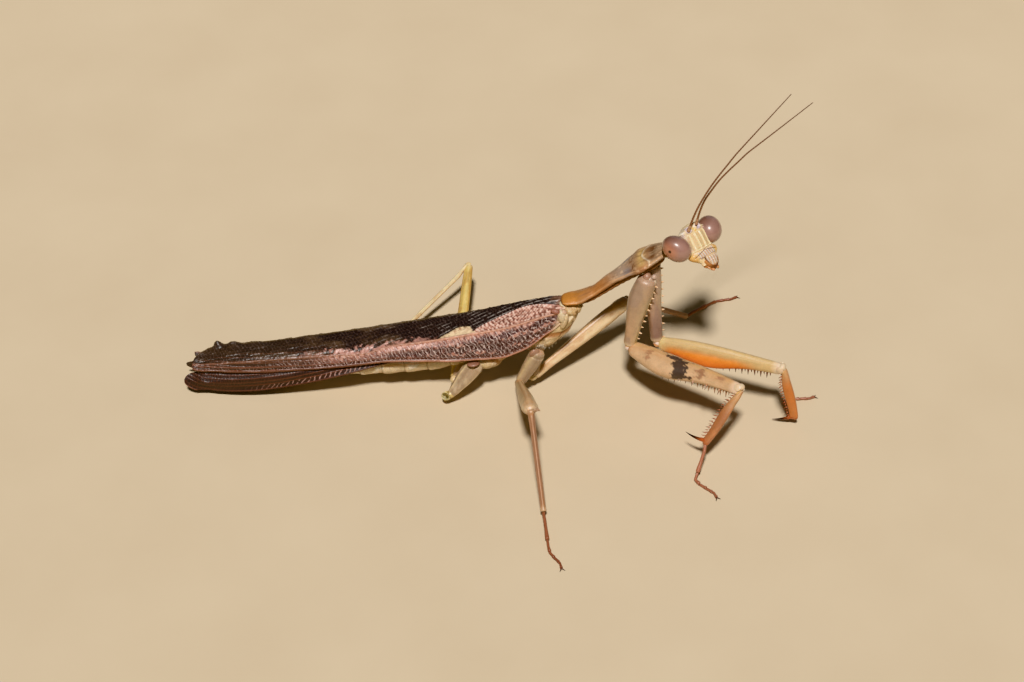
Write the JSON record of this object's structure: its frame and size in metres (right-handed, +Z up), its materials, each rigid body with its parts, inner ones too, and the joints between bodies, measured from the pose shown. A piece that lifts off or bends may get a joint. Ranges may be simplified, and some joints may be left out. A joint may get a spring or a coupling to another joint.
{
  "type": "praying mantis",
  "caption": "Life-size still model of a long-winged brown praying mantis, standing low with raised front and turned head.",
  "frame": {"origin": "on the floor, under the middle of the whole animal's box", "axes": "+Z up, -Y towards the head, +X to the animal's left"},
  "size_m": [0.051, 0.0804, 0.0435],
  "materials": {
    "face": "pale cream plate with fine ridges, soft gloss",
    "jaws": "orange-brown, darker at the tips",
    "eyes": "mauve-brown, smooth and glossy",
    "antennae": "thin brown rings",
    "pronotum": "orange-brown with a greyer middle and a pale groove",
    "prosternum": "dark brown",
    "pleura": "tan with olive patches and pale hairs",
    "abdomen": "tan, wrinkled sides",
    "tegmina": "leathery, dark brown with raised pink and cream veins",
    "hindwings": "dark red-brown with red-brown veins",
    "coxae": "greyish tan with white beads on the front edge",
    "fore_femora": "tan to orange, with dark spots",
    "fore_tibiae": "orange-brown with dark tipped spines",
    "feet": "reddish brown",
    "mid_legs": "greyish tan",
    "hind_legs": "pale yellow with orange-brown ridges"
  },
  "bodies": {
    "root": {"head": "face", "labrum": "face", "jaws": "jaws", "eye_right": "eyes", "eye_left": "eyes", "antenna_right": "antennae", "antenna_left": "antennae", "pronotum": "pronotum", "prosternum": "prosternum", "neck": "pleura", "mesothorax": "pleura", "metathorax": "pleura", "abdomen": "abdomen", "cercus_right": "abdomen", "cercus_left": "abdomen", "tegmen_right": "tegmina", "tegmen_left": "tegmina", "hindwing_right": "hindwings", "hindwing_left": "hindwings", "fore_right_coxa": "coxae", "fore_right_femur": "fore_femora", "fore_right_tibia": "fore_tibiae", "fore_right_tarsus": "feet", "mid_right_coxa": "coxae", "mid_right_femur": "mid_legs", "mid_right_tibia": "mid_legs", "mid_right_tarsus": "feet", "fore_left_coxa": "coxae", "fore_left_femur": "fore_femora", "fore_left_tibia": "fore_tibiae", "fore_left_tarsus": "feet", "mid_left_coxa": "coxae", "mid_left_femur": "mid_legs", "mid_left_tibia": "mid_legs", "mid_left_tarsus": "feet", "hind_right_coxa": "coxae", "hind_right_stump": "hind_legs", "hind_left_coxa": "coxae", "hind_left_femur": "hind_legs", "hind_left_tibia": "hind_legs", "hind_left_tarsus": "feet"}
  },
  "joints": []
}
